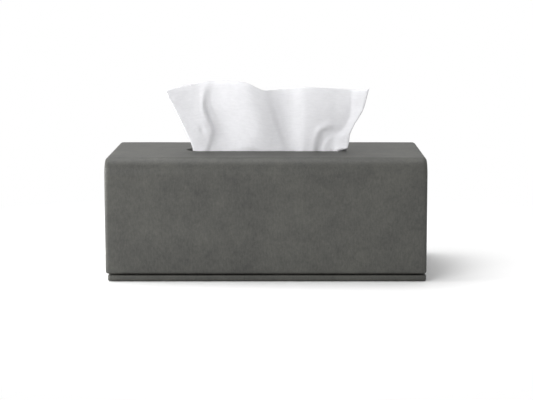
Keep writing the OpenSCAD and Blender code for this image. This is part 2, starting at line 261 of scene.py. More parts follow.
# %% Waxed beech
beech_grain, beech_ray = 1.2 * mm, 0.9 * mm          # widths across the grain
beech, tree, shader, place = new_material("waxed_beech", {
    "Roughness": 0.38, "Coat Weight": 0.25, "Coat Roughness": 0.3})
# The grain runs along the rails, so the pattern is drawn out along X
along = add(tree, "ShaderNodeMapping", {"Vector": place, "Scale": (0.06, 1.0, 1.0)})
grain = add(tree, "ShaderNodeTexNoise", {
    "Vector": along, "Scale": 1 / beech_grain, "Detail": 4.0, "Distortion": 0.6})
short = add(tree, "ShaderNodeMapping", {"Vector": place, "Scale": (0.3, 1.0, 1.0)})
rays = add(tree, "ShaderNodeTexVoronoi", {"Vector": short, "Scale": 1 / beech_ray})
ray = add(tree, "ShaderNodeMapRange", {
    "Value": rays.outputs["Distance"], "From Min": 0.05, "From Max": 0.35})
pore = add(tree, "ShaderNodeMath", {0: grain, 1: ray}, operation="MULTIPLY")
tint_and_relief(tree, shader, pore, "#a67c50", "#dcbb8c", grain, 0.05 * mm, 0.3)
print("beech:", len(tree.nodes), "nodes")

# %% Black-stained plywood
veneer = 1.3 * mm          # thickness of one layer
birch_grain = 1.1 * mm     # real pores are 0.1 mm; drawn coarser so that they show
stripe_share = 0.35        # how much paler every other layer's cut edge is


def plywood(name, across):
    """Stained plywood with veneers stacked along an axis: (1, 0, 0) for X, (0, 1, 0) for Y."""
    material, tree, shader, place = new_material(name, {
        "Roughness": 0.55, "Coat Weight": 0.15, "Coat Roughness": 0.4})
    reach = add(tree, "ShaderNodeVectorMath", {0: place, 1: across}, operation="DOT_PRODUCT")
    layer = add(tree, "ShaderNodeMath", {0: reach.outputs["Value"], 1: veneer},
        operation="DIVIDE")
    pair = add(tree, "ShaderNodeMath", {0: layer, 1: 2.0}, operation="FLOORED_MODULO")
    stripe = add(tree, "ShaderNodeMath", {0: pair, 1: 1.0}, operation="GREATER_THAN")
    run = add(tree, "ShaderNodeMapping", {"Vector": place, "Scale": (0.12, 1.0, 1.0)})
    grain = add(tree, "ShaderNodeTexNoise", {
        "Vector": run, "Scale": 1 / birch_grain, "Detail": 5.0, "Roughness": 0.65})
    tone = add(tree, "ShaderNodeMath", {
        0: stripe, 1: stripe_share, 2: grain}, operation="MULTIPLY_ADD")
    tint_and_relief(tree, shader, tone, "#191816", "#46423c", grain, 0.08 * mm, 0.4)
    return material


side_ply = plywood("black_stained_plywood_sides", (0, 1, 0))
tail_ply = plywood("black_stained_plywood_tail", (1, 0, 0))
print("plywood:", side_ply.name, tail_ply.name)

# %% [markdown]
# ## Magnets and their discs
#
# The magnets are nickel plated: smooth, bright and faintly warm, with small handling marks. The
# steel discs are zinc plated, which is bluer and shows the crystals of the zinc, called spangle.
# Both are metals, so the colour is the colour of the reflection and only roughness and a fine
# relief vary.

# %% Plated metals
mark_size = 0.4 * mm       # handling marks


def plated(name, dark, pale, roughness, crystal, depth):
    """A plated metal: crystal is the size of the patches that the plating grows in."""
    material, tree, shader, place = new_material(name, {"Metallic": 1.0})
    patches = add(tree, "ShaderNodeTexVoronoi", {"Vector": place, "Scale": 1 / crystal})
    marks = add(tree, "ShaderNodeTexNoise", {
        "Vector": place, "Scale": 1 / mark_size, "Detail": 5.0, "Roughness": 0.8})
    rough = add(tree, "ShaderNodeMapRange", {
        "Value": marks, "To Min": roughness - 0.08, "To Max": roughness + 0.14})
    feed(tree, shader, {"Roughness": rough})
    tint_and_relief(tree, shader, patches.outputs["Color"], dark, pale, marks, depth, 0.3)
    return material


nickel = plated("nickel_plated_magnet", "#b9b5aa", "#d6d2c8", 0.18, 1.5 * mm, 0.01 * mm)
zinc = plated("zinc_plated_steel", "#9fa3a8", "#c3c7cb", 0.34, 2.5 * mm, 0.02 * mm)
print("metals:", nickel.name, zinc.name)

# %% [markdown]
# ## A finish for every solid
#
# The record names the material slot of each solid. Some solids keep their mesh, because their
# shape is right, and only take a finish. The rest take one too, for whoever shows them again.

# %% Finish the solids
finish_of = {
    "leather": leather, "board": fibreboard, "lining": flock, "felt": felt, "rail": beech,
    "tray": side_ply, "magnet": nickel, "steel": zinc, "tissue": tissue_paper}
slot_of = {part["node"]: part["material_slot"] for part in frame["record"]["subparts"]}
for name, solid in nodes.items():
    solid.data.materials.clear()
    solid.data.materials.append(tail_ply if name == "drawer_tail" else finish_of[slot_of[name]])
print("finished:", len(slot_of), "solids")

# %% [markdown]
# ## Broken edges on the wooden parts
#
# A joiner takes the sharp edge off every board with a stroke of sandpaper, and a render
# shows it, because no real edge is perfectly sharp. The solids come as loose triangles, so they
# are welded first, flat faces are joined, and a small bevel rounds what is left.

# %% Soften the wooden edges
sanded_edge = 0.35 * mm
same_point = 0.001 * mm                   # corners closer than this are one corner
one_face, sharp_edge = 1, 40              # degrees between faces: still flat, and worth rounding


def modify(piece, name, kind, **settings):
    """Adds a modifier with its settings."""
    modifier = piece.modifiers.new(name, kind)
    for key, value in settings.items():
        setattr(modifier, key, value)


wooden = [name for name, slot in slot_of.items() if slot in ("rail", "tray")]
for name in wooden:
    modify(nodes[name], "weld", "WELD", merge_threshold=same_point)
    modify(nodes[name], "join_flats", "DECIMATE",
        decimate_type="DISSOLVE", angle_limit=math.radians(one_face))
    modify(nodes[name], "sanded_edge", "BEVEL", width=sanded_edge, segments=2,
        limit_method="ANGLE", angle_limit=math.radians(sharp_edge))
print("sanded:", wooden)

# %% [markdown]
# ## Sizes of the leather, read from the solids
#
# The leather sits on the boards, so all its sizes can be measured on the solids: how wide, deep
# and tall the sleeve is, how thick its wall, how round its bends and how long its slot.

# %% Measure the sleeve
skin_low, skin_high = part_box("sleeve_skin")
half_width, half_depth = skin_high.x, skin_high.y
wall = skin_high.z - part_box("left_panel_skin")[1].z
bend_radius = skin_high.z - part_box("front_bend")[0].z
leather_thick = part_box("front_board")[0].y - skin_low.y
lining_thick = wall - leather_thick - (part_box("front_board")[1].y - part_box("front_board")[0].y)
turn_in = half_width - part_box("sleeve_lining")[1].x


def rim_of(node, axis, level, low, high):
    """Half a hole's length and width, and its middle, from the rim's points on a flat face."""
    points = np.array([v.co for v in nodes[node].data.vertices])
    others = [k for k in range(3) if k != axis]
    flat = points[np.abs(points[:, axis] - level) < 0.01 * mm][:, others]
    rim = flat[((flat > low) & (flat < high)).all(1)]
    return (rim.max(0) - rim.min(0)) / 2, (rim.max(0) + rim.min(0)) / 2


slot_half = rim_of("sleeve_skin", 2, skin_high.z, (-0.1, -0.03), (0.1, 0.03))[0]
print("wall, bend, leather, slot in mm:", [
    round(float(x / mm), 2) for x in (wall, bend_radius, leather_thick, *slot_half)])

# %% [markdown]
# ## The sleeve's leather: one flat hide, folded round
#
# On the real box one hide goes up the front, over the top and down the back. It is easiest to
# model the same way: draw it flat, with u across and s along the girth, then fold it. A
# third number, depth, says how far in from the outer face a point lies, so that the hide can
# turn round the edges of the wall and in behind it. The flat hide is a grid whose lines are
# closer together where it bends.

# %% Fold lines along the girth
run_up = skin_high.z - bend_radius - skin_low.z
round_run = bend_radius * math.pi / 2
top_run = 2 * (half_depth - bend_radius)
marks = np.cumsum([0, run_up, round_run, top_run, round_run, run_up])
girth = marks[-1]


def fold_round(flat):
    """Folds flat hide round the sleeve: columns of flat are u, s and depth."""
    u, s, depth = flat.T
    turn = np.clip(s - marks[1], 0, round_run) + np.clip(s - marks[3], 0, round_run)
    turn = turn / bend_radius
    rise = np.clip(s, 0, run_up) - np.clip(s - marks[4], 0, run_up)
    inner = bend_radius - depth
    y = -half_depth + bend_radius + np.clip(s - marks[2], 0, top_run) - inner * np.cos(turn)
    z = skin_low.z + rise + inner * np.sin(turn)
    return np.stack([u, y, z], -1)


print("girth of the hide in mm:", round(float(girth / mm), 1))

# %% [markdown]
# ## Rulers and grids
#
# Two small tools build the hide. A ruler divides each stretch of a line evenly, with its own
# step. A grid of point numbers becomes four-sided faces.

# %% Tools for grids
def ruled(*stops):
    """Places along a line. Each stop is (place, step), the step being used up to the next."""
    places = []
    for (here, step), (there, _) in zip(stops, stops[1:]):
        count = max(1, round(float((there - here) / step)))
        places.extend(here + (there - here) * k / count for k in range(count))
    return np.array([*places, stops[-1][0]])


def grid_faces(ids, flip=False):
    """Faces over a grid of point numbers, left out where a point is missing, which is -1."""
    corners = [ids[:-1, :-1], ids[1:, :-1], ids[1:, 1:], ids[:-1, 1:]]
    faces = np.stack(corners[::-1] if flip else corners, -1).reshape(-1, 4)
    return faces[(faces >= 0).all(1)].tolist()


print("a ruler of 10 mm in steps of 3:", ruled((0, 3), (10, 0)))

# %% [markdown]
# ## The flat hide
#
# The hide's outer face, its turned ends, its hems and the strips glued down behind are the
# six sides of a flat slab, as thick as the wall and open behind. Every point near an
# edge is then pulled onto an ellipse, which rounds edges and corners in one step.

# %% Draw the flat hide
end_round, hem_round, face_round = 3.4 * mm, 1.7 * mm, 2.4 * mm
slot_radius = slot_half[1]
slot_straight = slot_half[0] - slot_radius
slot_s = marks[2] + top_run / 2
block_u, block_s = slot_half[0] + 12 * mm, slot_radius + 11 * mm    # the part round the slot

across = ruled(
    (-half_width, 0.65 * mm), (end_round - half_width, 2.3 * mm), (turn_in - half_width, 4 * mm),
    (-block_u, 3 * mm), (block_u, 4 * mm), (half_width - turn_in, 2.3 * mm),
    (half_width - end_round, 0.65 * mm), (half_width, 0))
along = ruled(
    (0, 0.4 * mm), (hem_round, 1.5 * mm), (turn_in, 4 * mm), (marks[1], 1.1 * mm),
    (marks[2], 4 * mm), (slot_s - block_s, 2.8 * mm), (slot_s + block_s, 4 * mm),
    (marks[3], 1.1 * mm), (marks[4], 4 * mm), (girth - turn_in, 1.5 * mm),
    (girth - hem_round, 0.4 * mm), (girth, 0))
inwards = ruled((0, 0.5 * mm), (face_round, 0.4 * mm), (wall - face_round, 0.5 * mm), (wall, 0))

u, s, depth = np.meshgrid(across, along, inwards, indexing="ij")
edge = 0.001 * mm                  # a point this near to an edge lies on it
at_end = np.abs(u) > half_width - edge
at_hem = (s < edge) | (s > girth - edge)
turned = np.abs(u) > half_width - turn_in - edge
turned |= (s < turn_in + edge) | (s > girth - turn_in - edge)
in_block = (np.abs(u) < block_u - edge) & (np.abs(s - slot_s) < block_s - edge)
on_face = (depth < edge) & ~in_block
used = at_end | at_hem | on_face | ((depth > wall - edge) & turned)
ids = np.full(u.shape, -1)
ids[used] = np.arange(used.sum())
flat = np.stack([u[used], s[used], depth[used]], -1)
face_ids = ids[:, :, 0]
faces = (
    grid_faces(face_ids) + grid_faces(ids[:, :, -1], flip=True)
    + grid_faces(ids[0]) + grid_faces(ids[-1], flip=True)
    + grid_faces(ids[:, 0], flip=True) + grid_faces(ids[:, -1]))
print("hide before rounding:", len(flat), "points", len(faces), "faces")

# %% Round its edges
reach = np.array([end_round, hem_round, face_round])
low_inside = np.array([-half_width, 0, 0]) + reach
high_inside = np.array([half_width, girth, wall]) - reach
core = np.clip(flat, low_inside, high_inside)
away = (flat - core) / reach
far = np.linalg.norm(away, axis=1, keepdims=True)
flat = core + reach * away / np.maximum(far, 1e-9) * (far > 1e-6)
print("largest inset of a corner in mm:", round(float(reach.max() / mm), 1))

# %% [markdown]
# ## The slot in the hide
#
# The slot is cut in the flat part of the top. Its leather rolls over the edge of the board,
# goes down through it and is glued out flat underneath. Rings of points lead from the grid
# round the slot to its rim, over the lip and under, and each two neighbours become four-sided
# faces as a grid does. The way from a rectangle of points to a rim with round ends is worked out
# point by point: each belongs to a place on the slot's middle line, and goes out from there.

# %% Rings of points
def ring_faces(outer, inner, flip=False):
    """Faces between two rings of point numbers."""
    rings = [outer, np.roll(outer, -1), np.roll(inner, -1), inner]
    return np.stack(rings[::-1] if flip else rings, -1).tolist()


def joined_rings(rings, before=None, count=0, flip=False):
    """Rings of points, numbered from count on, with faces from each to the next."""
    faces = []
    for ring in rings:
        ids = count + np.arange(len(ring))
        if before is not None:
            faces += ring_faces(before, ids, flip)
        before, count = ids, count + len(ring)
    return np.vstack(rings), faces, before


def quarter_round(radius, steps):
    """Steps round a quarter circle: how much radius is left one way, and used the other."""
    angles = [math.pi / 2 * k / steps for k in range(1, steps + 1)]
    return [(radius * (1 - math.sin(a)), radius * (1 - math.cos(a))) for a in angles]


print("a quarter circle of 2 mm in 2 steps:", np.round(quarter_round(2, 2), 2).tolist())

# %% Rings that lead to a slot
def slot_rings(loop, middle, half, reach_p, reach_q, section):
    """Rings that lead from a loop of points to a slot with round ends, and into it.

    Each point of the loop is matched with one on the slot's middle line and with a way out. The
    section lists (share of the way to the slot, distance outside its rim, depth)."""
    p, q = loop[:, 0] - middle[0], loop[:, 1] - middle[1]
    straight = half[0] - half[1]
    past = np.abs(p) - straight
    turn = np.where(past > 0, (past + reach_q - np.abs(q)) / (reach_p - straight + reach_q), 0)
    turn = np.clip(turn, 0, 1) * math.pi / 2
    line = np.stack([np.clip(p, -straight, straight), 0 * q], -1)
    out = np.stack([np.sign(p) * np.sin(turn), np.where(q < 0, -1, 1) * np.cos(turn)], -1)
    rings = []
    for share, offset, depth in section:
        at = np.stack([p, q], -1) * (1 - share) + (line + out * (half[1] + offset)) * share
        rings.append(np.column_stack([at + middle, np.full(len(at), depth)]))
    return rings


print("a point's three rings:", len(slot_rings(
    np.array([[9.0, 5.0]]), (0, 0), (4, 1), 9, 5, [(0.5, 0, 0), (1, 0, 0), (1, 0, 1)])))

# %% Cut the slot
lip, under_lip, slot_turn = 1.5 * mm, 0.8 * mm, 6.5 * mm
left, right = np.searchsorted(across, [-block_u - edge, block_u - edge])
near, back = np.searchsorted(along, [slot_s - block_s - edge, slot_s + block_s - edge])
rim_ids = np.concatenate([
    face_ids[left:right, near], face_ids[right, near:back],
    face_ids[right:left:-1, back], face_ids[left, back:near:-1]])
section = [(share, lip, 0) for share in (0.3, 0.6, 0.82, 1)]
section += [(1, left_over, used) for left_over, used in quarter_round(lip, 5)]
section += [(1, 0, wall - under_lip)]
section += [(1, used, wall - left_over) for left_over, used in quarter_round(under_lip, 3)]
section += [(1, slot_turn, wall)]
rings = slot_rings(flat[rim_ids], (0, slot_s), slot_half, block_u, block_s, section)
ring_points, more_faces, _ = joined_rings(rings, rim_ids, len(flat))
flat = np.vstack([flat, ring_points])
faces += more_faces
print("rings round the slot:", len(rings), "of", len(rim_ids), "points")

# %% [markdown]
# ## Soft unevenness
#
# Glued leather is never as flat as the board. It swells by a tenth of a millimetre here and
# there, and its lower edge wavers, which is why the shadow line over the plate isn't ruled.
# A slow noise moves the outer face outwards, and the front and back hems down, by that much.
# The hide then gets its thickness inwards, pared thin where it is turned in.

# %% Slow noise
swell_height = 0.16 * mm
long_swell, short_swell = 34 * mm, 13 * mm       # lengths of its waves


def slow_noise(x, y, size, seed):
    """Smooth noise between about -1 and 1, with waves as long as size."""
    return np.array([noise.noise(Vector((a / size, b / size, seed))) for a, b in zip(x, y)])


def swell(a, b, depth, seed):
    """How far glued leather stands proud at each point: nothing behind the face."""
    waves = slow_noise(a, b, long_swell, seed) + 0.5 * slow_noise(a, b, short_swell, seed + 5)
    return swell_height * np.clip(0.5 + 0.5 * waves, 0, 1) * np.clip(1 - depth / face_round, 0, 1)


print("swells by at most", swell_height / mm, "mm")

# %% A piece from points and faces
def new_piece(name, points, faces, material, uv=None):
    """A mesh object at the origin, smooth, with an optional UV map named cut."""
    mesh = bpy.data.meshes.new(name)
    mesh.from_pydata(np.asarray(points).tolist(), [], faces)
    mesh.polygons.foreach_set("use_smooth", [True] * len(mesh.polygons))
    mesh.materials.append(material)
    if uv is not None:
        layer = mesh.uv_layers.new(name="cut")
        corner = np.zeros(len(mesh.loops), np.int32)
        mesh.loops.foreach_get("vertex_index", corner)
        layer.data.foreach_set("uv", np.asarray(uv, np.float32)[corner].ravel())
    return in_scene(name, mesh)


print("a piece lies in", scene.collection.name)

# %% Fold the hide
hem_waver, waver_length = 0.3 * mm, 60 * mm
hem_reach = 6 * mm                               # how far up the waver is felt

cut_uv = flat[:, :2].copy()
flat[:, 2] -= swell(flat[:, 0], flat[:, 1], flat[:, 2], 3.5)
waver = 0.5 + 0.5 * slow_noise(flat[:, 0], 0 * flat[:, 0], waver_length, 8.2)
# At both ends of the box the hem hangs all the way
waver = hem_waver * np.maximum(waver, (np.abs(flat[:, 0]) / half_width) ** 6)
points = fold_round(flat)
low_part = np.clip(1 - (points[:, 2] - skin_low.z) / hem_reach, 0, 1)
points[:, 2] -= waver * low_part
sleeve_leather = new_piece("sleeve_leather", points, faces, leather, cut_uv)
print("sleeve leather:", len(points), "points,", len(faces), "faces")

# %% Give it thickness
def thicken(piece, pared):
    """Gives leather its thickness inwards, and points numbered in pared a lining's."""
    group = piece.vertex_groups.new(name="full_thickness")
    full = sorted(set(range(len(piece.data.vertices))) - set(pared))
    group.add(full, 1.0, "REPLACE")
    modify(piece, "thickness", "SOLIDIFY", thickness=leather_thick, offset=-1,
        vertex_group=group.name, thickness_vertex_group=lining_thick / leather_thick)


thicken(sleeve_leather, np.flatnonzero(flat[:, 2] > wall - edge).tolist())
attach(sleeve_leather, "sleeve")
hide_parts("sleeve_skin")
print("leather thickness in mm:", round(leather_thick / mm, 2))

# %% [markdown]
# ## Leather round a flat board
#
# The plate and the two end panels are flat boards with leather over the face and round the
# edges. Seen face on, each is a rectangle with its own corner radii, so the leather can be
# built from loops: each loop is the outline drawn in by an inset, at a depth behind the face.
# A list of (inset, depth) pairs is then the section of the leather, from its back edge over the
# rounded rim and across the face to the middle.

# %% Loops round a board
smallest_radius, smallest_gap = 0.02 * mm, 0.3 * mm      # so that no two points fall together


def loop_of(low, high, radii, inset, corner_steps=6, side_steps=26):
    """Points counter-clockwise round a rectangle with round corners, drawn in by inset."""
    corners = []
    for k, (x_end, y_end) in enumerate([(0, 0), (1, 0), (1, 1), (0, 1)]):
        r = max(radii[k] - inset, smallest_radius)
        x = high[0] - inset - r if x_end else low[0] + inset + r
        y = high[1] - inset - r if y_end else low[1] + inset + r
        angles = [
            math.radians(180 + 90 * k + 90 * j / corner_steps) for j in range(corner_steps + 1)]
        corners.append([(x + r * math.cos(a), y + r * math.sin(a)) for a in angles])
    points = []
    for k, corner in enumerate(corners):
        end, start = np.array(corner[-1]), np.array(corners[(k + 1) % 4][0])
        sides = [end + (start - end) * j / side_steps for j in range(1, side_steps)]
        points += [np.array(c) for c in corner] + sides
    return np.array(points)


def rolled_edge(radius):
    """The rounded rim of a board as (inset, depth), from its side to its face."""
    return [(used, left_over) for left_over, used in quarter_round(radius, 4)]


def across_face(start, short_side, steps=9):
    """Insets across a face, from its rim to the middle."""
    end = short_side / 2 - smallest_gap
    return [(start + (end - start) * k / steps, 0) for k in range(1, steps + 1)]


print("a rim of 1 mm:", np.round(rolled_edge(1), 2).tolist())

# %% Leather from loops
def cover_board(name, low, high, radii, section, place, body, node, hole=None, flip=False):
    """Leather over a board, built from loops. place turns (a, b, depth) into a model's point."""
    loops = [loop_of(low, high, radii, inset) for inset, _ in section]
    rings = [
        np.column_stack([loop, np.full(len(loop), depth)])
        for loop, (_, depth) in zip(loops, section)]
    if hole:
        middle, half, hole_section = hole
        inset = section[-1][0]
        reach_q = np.where(
            loops[-1][:, 1] < middle[1], middle[1] - low[1] - inset, high[1] - middle[1] - inset)
        rings += slot_rings(loops[-1], middle, half, high[0] - inset, reach_q, hole_section)
    flat, faces, last = joined_rings(rings, flip=flip)
    if not hole:
        faces.append(last[::-1].tolist() if flip else last.tolist())
    uv = flat[:, :2].copy()
    flat[:, 2] -= swell(flat[:, 0], flat[:, 1], flat[:, 2], 6.5)
    piece = new_piece(name, place(*flat.T), faces, leather, uv)
    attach(piece, body)
    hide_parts(node)
    print(name + ":", len(flat), "points,", len(faces), "faces")
    return piece, flat


# %% [markdown]
# ## The plate
#
# The plate is the drawer's floor: a thin board, all its edges rounded, with leather over the top
# and turned in by 12 mm underneath, where felt covers the rest.

# %% Cover the plate
plate_low, plate_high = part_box("plate_skin")
plate_thick = plate_high.z - plate_low.z
plate_round = 1.1 * mm
plate_corner = 2.4 * mm
plate_section = [(turn_in, plate_thick), (plate_round, plate_thick)]
plate_section += [
    (left_over, plate_thick - used) for left_over, used in quarter_round(plate_round, 4)]
plate_section += [(0, plate_round)] + rolled_edge(plate_round)
plate_section += across_face(plate_round, plate_high.y - plate_low.y)
plate_leather = cover_board(
    "plate_leather", plate_low[:2], plate_high[:2], [plate_corner] * 4, plate_section,
    lambda a, b, depth: np.stack([a, b, plate_high.z - depth], -1), "drawer", "plate_skin")[0]
thicken(plate_leather, [])
print("plate in mm:", [round(x / mm, 1) for x in plate_high - plate_low])

# %% [markdown]
# ## The end panels
#
# The left end of the sleeve is closed by a panel set 1.5 mm back. The right end is the drawer's
# own front, with a finger slot to draw it out by. Their upper corners follow the
# sleeve's bends, less its wall.

# %% Cover the left end panel
panel_rim = 0.8 * mm
panel_low, panel_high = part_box("left_panel_skin")
panel_thick = panel_high.x - panel_low.x
top_corner = bend_radius - wall
low_corner = 0.3 * mm
panel_section = [(0, panel_thick), (0, panel_rim)] + rolled_edge(panel_rim)
panel_leather, panel_flat = cover_board(
    "left_panel_leather", panel_low[1:], panel_high[1:],
    [low_corner, low_corner, top_corner, top_corner],
    panel_section + across_face(panel_rim, panel_high.z - panel_low.z),
    lambda a, b, depth: np.stack([panel_low.x + depth, a, b], -1), "sleeve", "left_panel_skin",
    flip=True)
thicken(panel_leather, np.flatnonzero(panel_flat[:, 2] > panel_rim - edge).tolist())
print("left panel in mm:", [round(x / mm, 1) for x in panel_high - panel_low])

# %% Cover the drawer front
front_low, front_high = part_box("drawer_front_skin")
front_thick = front_high.x - front_low.x
front_corner = top_corner - (front_low.y - panel_low.y)
finger_half, finger_middle = rim_of(
    "drawer_front_skin", 0, front_high.x,
    (-0.03, front_low.z + 0.02), (0.03, front_high.z - 0.012))
finger_section = [(share, panel_rim, 0) for share in (0.25, 0.5, 0.75, 0.9, 1)]
finger_section += [(1, left_over, used) for left_over, used in quarter_round(panel_rim, 4)]
finger_section += [(1, 0, front_thick)]
front_leather, front_flat = cover_board(
    "drawer_front_leather", front_low[1:], front_high[1:],
    [low_corner, low_corner, front_corner, front_corner],
    [(0, front_thick), (0, panel_rim)] + rolled_edge(panel_rim),
    lambda a, b, depth: np.stack([front_high.x - depth, a, b], -1), "drawer",
    "drawer_front_skin", hole=(finger_middle, finger_half, finger_section))
thicken(front_leather, np.flatnonzero(front_flat[:, 2] > panel_rim - edge).tolist())
print("finger slot in mm:", (finger_half * 2 / mm).round(1))

# %% [markdown]
# ## The drawn tissue
#
# One tissue stands up through the slot. The slot gathers it, and above the slot it opens like a
# fan, with a few long soft folds, a sharp crease at the left and a curl low down at the right.
# A cloth simulation would fold it some other way each time a value changed. Here the folds have
# to be those of the picture, so each is drawn as a line from the top of the sheet to the slot:
# where it runs and how far the sheet stands forward there. A smooth curve through neighbouring
# lines gives the depth everywhere else.

# %% A smooth curve through points
def through(x, y, at):
    """A smooth curve through points, read at places. Each place may have points of its own."""
    x, y = np.broadcast_arrays(np.asarray(x, float), np.asarray(y, float))
    x, y = (np.broadcast_to(a.reshape(len(a), -1), (len(a), at.size)) for a in (x, y))
    rise, run = np.diff(y, axis=0), np.diff(x, axis=0)
    inner = (rise[1:] + rise[:-1]) / (run[1:] + run[:-1])
    slope = np.concatenate([rise[:1] / run[:1], inner, rise[-1:] / run[-1:]])
    k = np.clip((x <= at.ravel()).sum(0) - 1, 0, len(x) - 2)[None]
    x0, y0, m0 = (np.take_along_axis(a, k, 0)[0] for a in (x, y, slope))
    x1, y1, m1 = (np.take_along_axis(a, k + 1, 0)[0] for a in (x, y, slope))
    t = np.clip((at.ravel() - x0) / (x1 - x0), 0, 1)
    curve = (y0 * (1 + 2 * t) * (1 - t) ** 2 + y1 * t**2 * (3 - 2 * t)
        + (x1 - x0) * (m0 * t * (1 - t) ** 2 - m1 * t**2 * (1 - t)))
    return curve.reshape(at.shape)


print("half way along 0, 4, 6:", through([0, 1, 2], [0, 4, 6], np.array([0.5, 1.5])))

# %% Outline of the tissue
# All in millimetres. Side edges are (height, x), from the stack up to the upper corners
left_edge = [(66, -84), (82, -72), (93, -63), (98.8, -62), (102.3, -62.5), (106.2, -63.8),
    (110.5, -65.9), (116.9, -68.9), (123, -71.9), (129.9, -75.3), (136.8, -78.7), (144.1, -82.5),
    (151, -85.4)]
right_edge = [(66, 86), (82, 75), (93, 66.6), (99.3, 66.3), (102.8, 68.1), (106.2, 69.2),
    (109, 69.5), (113.5, 70.2), (118.8, 72.4), (124.4, 75.5), (129, 78.3), (133, 80.6),
    (137, 82.2), (144, 84), (152, 86.2)]
# The upper edge is (place across from 0 to 1, height)
crest = [(0, 149.9), (0.02, 151), (0.075, 153.9), (0.125, 155.5), (0.168, 156.7), (0.2, 157.9),
    (0.245, 158.6), (0.285, 158.8), (0.335, 158.3), (0.388, 157.3), (0.415, 155.8),
    (0.443, 153.3), (0.483, 150.6), (0.525, 150.8), (0.594, 152), (0.662, 153.2), (0.69, 153.4),
    (0.8, 152.3), (0.903, 151.4), (0.951, 150.9), (0.985, 151.4), (1, 152)]
print("tissue's highest point in mm:", max(z for _, z in crest))

# %% Its long folds
# From left to right: lines of (height, x, how far forward) in millimetres, from the slot up
long_folds = {
    "left_side": [(99, -66, 2.4), (128, -78, 0.8), (155, -90, 0.8)],
    "flap_ridge": [(99, -57.3, 3.9), (111, -56.9, 3), (117.3, -56.1, 2.8), (121.7, -55.7, 2.8),
        (128.2, -55, 2.6), (134.2, -54.8, 2.1), (139.4, -55, 1.7), (155, -57, 0.6)],
    "crease_ridge": [(99, -50.4, 4.6), (108.7, -47.8, 3.3), (114, -45.9, 2.8), (117.8, -45.4, 2.5),
        (120.4, -46.3, 2.4), (127.3, -49.4, 2.4), (132.5, -51.7, 2.4), (139.4, -52.9, 2.2),
        (147, -52.4, 1.7), (155, -50, 1)],
    "crease": [(99, -48.2, 3.6), (108.7, -45.6, 1.9), (114, -43.7, 0.5), (117.8, -43.1, -0.3),
        (120.4, -44, -0.7), (127.3, -47.1, -1.4), (132.5, -49.4, -1.6), (139.4, -50.6, -1),
        (147, -48.8, 0.2), (155, -45, 1)],
    "crease_floor": [(99, -41, 3.8), (108.7, -37, 1.5), (114, -36.3, 0.8), (117.8, -36.4, 0.7),
        (127.3, -40.4, 0.3), (132.5, -43.4, 0.1), (139.4, -45.6, 0.3), (147, -44, 0.8),
        (155, -40, 1.7)],
    "lobe": [(99, -7, 5.6), (110, -8, 5.4), (122.8, -10, 5.4), (134.7, -13.6, 5.2),
        (155, -17.5, 4.8)],
    "shoulder": [(99, 14.4, 4.2), (111, 9.6, 3.7), (123, 5, 3.4), (134.7, 1, 3.2), (155, -5.5, 3)],
    "diagonal": [(99, 18.6, 3.3), (111, 15, 1.4), (123, 11.4, -0.6), (134.7, 8.4, -1),
        (155, 4.5, -0.9)],
    "flank": [(99, 22.5, 3.2), (111, 20.5, 1.3), (123, 19.5, -0.1), (134.7, 19, -0.3),
        (155, 18.5, -0.2)],
    "middle_ridge": [(99, 31, 5), (108, 32.5, 3.8), (120, 33.5, 2.8), (134.7, 34, 2.3),
        (155, 34, 2.1)],
    "valley": [(99, 50, 2.2), (113, 57.5, 0), (119, 64, -0.5), (128.8, 69.2, -0.8),
        (155, 70.5, -0.5)],
    "band": [(99, 60, 4.4), (113, 64.5, 1.9), (119, 69, 0.9), (128.8, 72.8, 0.5), (155, 75, 0.3)],
    "right_side": [(99, 70, 4.4), (128, 80, 3), (155, 90, 3.4)],
}


folds_from, folds_to = 99, 155          # heights between which the lines are drawn


def long_fold_depth(x, z):
    """How far forward the long folds bring each point."""
    height = np.clip(z.ravel(), folds_from, folds_to)
    lines = [np.array(line).T for line in long_folds.values()]
    where = np.array([through(line[0], line[1], height) for line in lines])
    forward = np.array([through(line[0], line[2], height) for line in lines])
    return through(where, forward, x)


print("long folds:", len(long_folds))

# %% Its short folds
# Each is (points of x, height and how far forward; width on its outer side; on its inner side)
short_folds = {
    "pocket": (
        [(-54.8, 121, 0), (-54.3, 117.5, -0.45), (-54, 113, -0.1), (-54, 108, 0)], 1.5, 1.5),
    "curl": ([(62, 121, 0.1), (56, 121.3, 0.6), (51.3, 120.3, 1), (47.1, 118.6, 1.2),
        (44.2, 116, 1.2), (41.4, 110.6, 1), (40.1, 105, 0.9), (39.4, 99, 0.7), (38, 88, 0)], 3.4,
        1.7),
    "curl_hollow": ([(62, 115.5, -0.3), (56, 116, -0.6), (50, 115.8, -0.7), (47, 113.6, -0.7),
        (45.6, 107.1, -0.7), (43.5, 101, -0.7), (42.9, 97, -0.5), (42, 88, 0)], 1.7, 2.6),
    "inner_fold": ([(64.5, 113, 0.2), (57.8, 111.5, 0.7), (52, 109, 1.1), (48.4, 104.5, 1.2),
        (47, 98, 0.9), (45, 90, 0)], 1.8, 9),
    "heel": ([(56, 101.8, 0.3), (62, 101.8, 1.6), (67, 102, 2.6)], 2.4, 2.4),
    "dimple": ([(56.6, 103.4, -0.2), (55.8, 101, -0.7), (55.6, 97, -0.7), (55, 90, 0)], 1.6, 1.6),
    "ripple_left": ([(-27, 101.6, 0), (-21, 103, 0.6), (-12, 102.8, 0.6), (-4, 101.2, 0)], 1.2, 1),
    "ripple_right": ([(-4, 100.2, 0), (3, 101, 0.5), (9, 100.6, 0.5), (15, 99.6, 0)], 1.2, 1),
}


